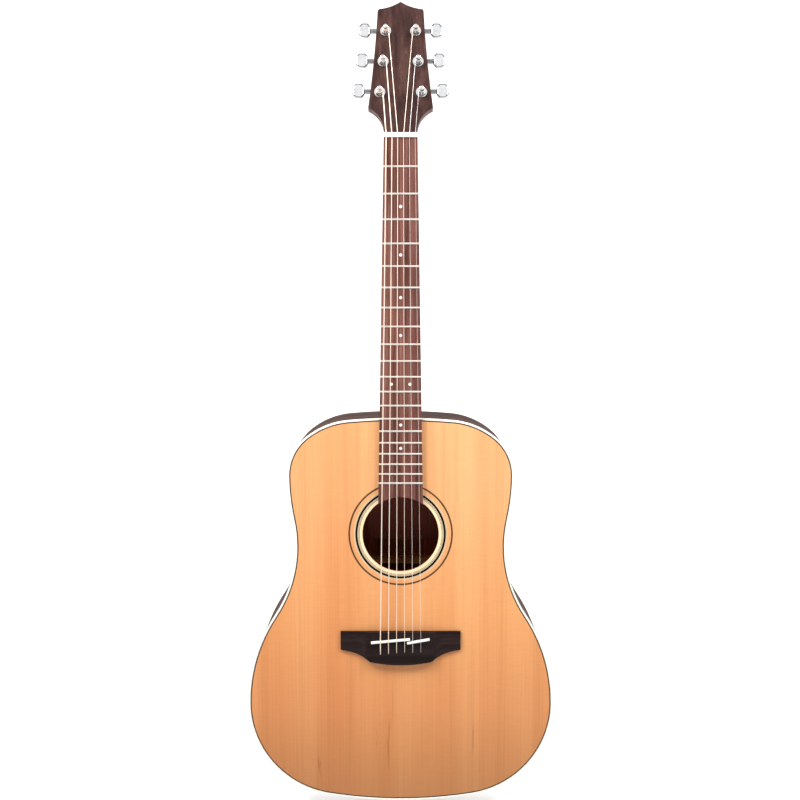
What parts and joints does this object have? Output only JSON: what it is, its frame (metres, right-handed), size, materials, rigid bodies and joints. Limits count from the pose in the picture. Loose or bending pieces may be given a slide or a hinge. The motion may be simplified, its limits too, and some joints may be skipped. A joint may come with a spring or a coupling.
{
  "type": "acoustic guitar",
  "caption": "Six-string acoustic steel-string guitar with a dreadnought body, round soundhole with rosette, pinless bridge and geared tuners.",
  "frame": {"origin": "under the middle of the upright guitar, level with the end of the strap button", "axes": "+Z from the tail to the head, -Y out of the soundboard towards the player's audience, +X to the treble side"},
  "size_m": [0.4032, 0.1345, 1.0652],
  "materials": {
    "soundboard_cedar": "satin",
    "dark_rosewood": "satin",
    "mahogany": "satin",
    "brace_spruce": "raw",
    "ivory_plastic": "gloss",
    "black_plastic": "gloss",
    "chrome": "polished",
    "steel": "satin",
    "phosphor_bronze": "satin",
    "fret_nickel": "polished",
    "label_paper": "matte"
  },
  "bodies": {
    "guitar": {"soundboard": "soundboard_cedar", "back_plate": "mahogany", "side_bass": "mahogany", "side_treble": "mahogany", "neck": "mahogany", "linings": "mahogany", "neck_block": "mahogany", "tail_block": "mahogany", "fretboard": "dark_rosewood", "bridge": "dark_rosewood", "head_veneer": "dark_rosewood", "heel_cap": "dark_rosewood", "x_braces": "brace_spruce", "tone_bars": "brace_spruce", "transverse_brace": "brace_spruce", "back_braces": "mahogany", "back_strip": "mahogany", "bridge_plate": "mahogany", "top_binding": "ivory_plastic", "rosette_light_rings": "ivory_plastic", "nut": "ivory_plastic", "saddle_bass": "ivory_plastic", "saddle_treble": "ivory_plastic", "position_dots": "ivory_plastic", "back_binding": "black_plastic", "purfling": "black_plastic", "rosette_dark_rings": "black_plastic", "frets": "fret_nickel", "tuner_housings": "chrome", "tuner_bushings": "chrome", "strap_button": "chrome", "tuner_screws": "steel", "strap_button_screw": "steel", "truss_rod": "steel", "label": "label_paper", "string_low_e": "phosphor_bronze", "string_a": "phosphor_bronze", "string_d": "phosphor_bronze", "string_g": "phosphor_bronze", "string_b": "steel", "string_high_e": "steel"},
    "truss_rod_nut": {"truss_rod_nut": "steel"},
    "tuner_low_e_key": {"tuner_low_e_button": "chrome", "tuner_low_e_worm": "steel"},
    "tuner_low_e_post": {"tuner_low_e_post": "chrome"},
    "tuner_a_key": {"tuner_a_button": "chrome", "tuner_a_worm": "steel"},
    "tuner_a_post": {"tuner_a_post": "chrome"},
    "tuner_d_key": {"tuner_d_button": "chrome", "tuner_d_worm": "steel"},
    "tuner_d_post": {"tuner_d_post": "chrome"},
    "tuner_g_key": {"tuner_g_button": "chrome", "tuner_g_worm": "steel"},
    "tuner_g_post": {"tuner_g_post": "chrome"},
    "tuner_b_key": {"tuner_b_button": "chrome", "tuner_b_worm": "steel"},
    "tuner_b_post": {"tuner_b_post": "chrome"},
    "tuner_high_e_key": {"tuner_high_e_button": "chrome", "tuner_high_e_worm": "steel"},
    "tuner_high_e_post": {"tuner_high_e_post": "chrome"}
  },
  "joints": [
    {"name": "truss_rod_nut_turn", "type": "hinge", "parent": "guitar", "child": "truss_rod_nut", "pos_m": [0, -0.04482, 0.467], "axis": [0, 0, -1], "range_deg": [-180, 180]},
    {"name": "tuner_low_e_key_turn", "type": "hinge", "parent": "guitar", "child": "tuner_low_e_key", "pos_m": [-0.0266, -0.01986, 0.9497], "axis": [-1, 0, 0], "continuous": true},
    {"name": "tuner_low_e_post_turn", "type": "hinge", "parent": "guitar", "child": "tuner_low_e_post", "pos_m": [-0.0266, -0.04071, 0.94459], "axis": [0, -0.9703, 0.2419], "continuous": true},
    {"name": "tuner_a_key_turn", "type": "hinge", "parent": "guitar", "child": "tuner_a_key", "pos_m": [-0.0224, -0.00979, 0.99006], "axis": [-1, 0, 0], "continuous": true},
    {"name": "tuner_a_post_turn", "type": "hinge", "parent": "guitar", "child": "tuner_a_post", "pos_m": [-0.0224, -0.03065, 0.98495], "axis": [0, -0.9703, 0.2419], "continuous": true},
    {"name": "tuner_d_key_turn", "type": "hinge", "parent": "guitar", "child": "tuner_d_key", "pos_m": [-0.0192, 0.00027, 1.03042], "axis": [-1, 0, 0], "continuous": true},
    {"name": "tuner_d_post_turn", "type": "hinge", "parent": "guitar", "child": "tuner_d_post", "pos_m": [-0.0192, -0.02058, 1.02532], "axis": [0, -0.9703, 0.2419], "continuous": true},
    {"name": "tuner_g_key_turn", "type": "hinge", "parent": "guitar", "child": "tuner_g_key", "pos_m": [0.0192, 0.00027, 1.03042], "axis": [1, 0, 0], "continuous": true},
    {"name": "tuner_g_post_turn", "type": "hinge", "parent": "guitar", "child": "tuner_g_post", "pos_m": [0.0192, -0.02058, 1.02532], "axis": [0, -0.9703, 0.2419], "continuous": true},
    {"name": "tuner_b_key_turn", "type": "hinge", "parent": "guitar", "child": "tuner_b_key", "pos_m": [0.0224, -0.00979, 0.99006], "axis": [1, 0, 0], "continuous": true},
    {"name": "tuner_b_post_turn", "type": "hinge", "parent": "guitar", "child": "tuner_b_post", "pos_m": [0.0224, -0.03065, 0.98495], "axis": [0, -0.9703, 0.2419], "continuous": true},
    {"name": "tuner_high_e_key_turn", "type": "hinge", "parent": "guitar", "child": "tuner_high_e_key", "pos_m": [0.0266, -0.01986, 0.9497], "axis": [1, 0, 0], "continuous": true},
    {"name": "tuner_high_e_post_turn", "type": "hinge", "parent": "guitar", "child": "tuner_high_e_post", "pos_m": [0.0266, -0.04071, 0.94459], "axis": [0, -0.9703, 0.2419], "continuous": true}
  ],
  "couplings": [
    {"joint": "tuner_low_e_post_turn", "follows": "tuner_low_e_key_turn", "ratio": -0.071429},
    {"joint": "tuner_a_post_turn", "follows": "tuner_a_key_turn", "ratio": -0.071429},
    {"joint": "tuner_d_post_turn", "follows": "tuner_d_key_turn", "ratio": -0.071429},
    {"joint": "tuner_g_post_turn", "follows": "tuner_g_key_turn", "ratio": 0.071429},
    {"joint": "tuner_b_post_turn", "follows": "tuner_b_key_turn", "ratio": 0.071429},
    {"joint": "tuner_high_e_post_turn", "follows": "tuner_high_e_key_turn", "ratio": 0.071429}
  ]
}
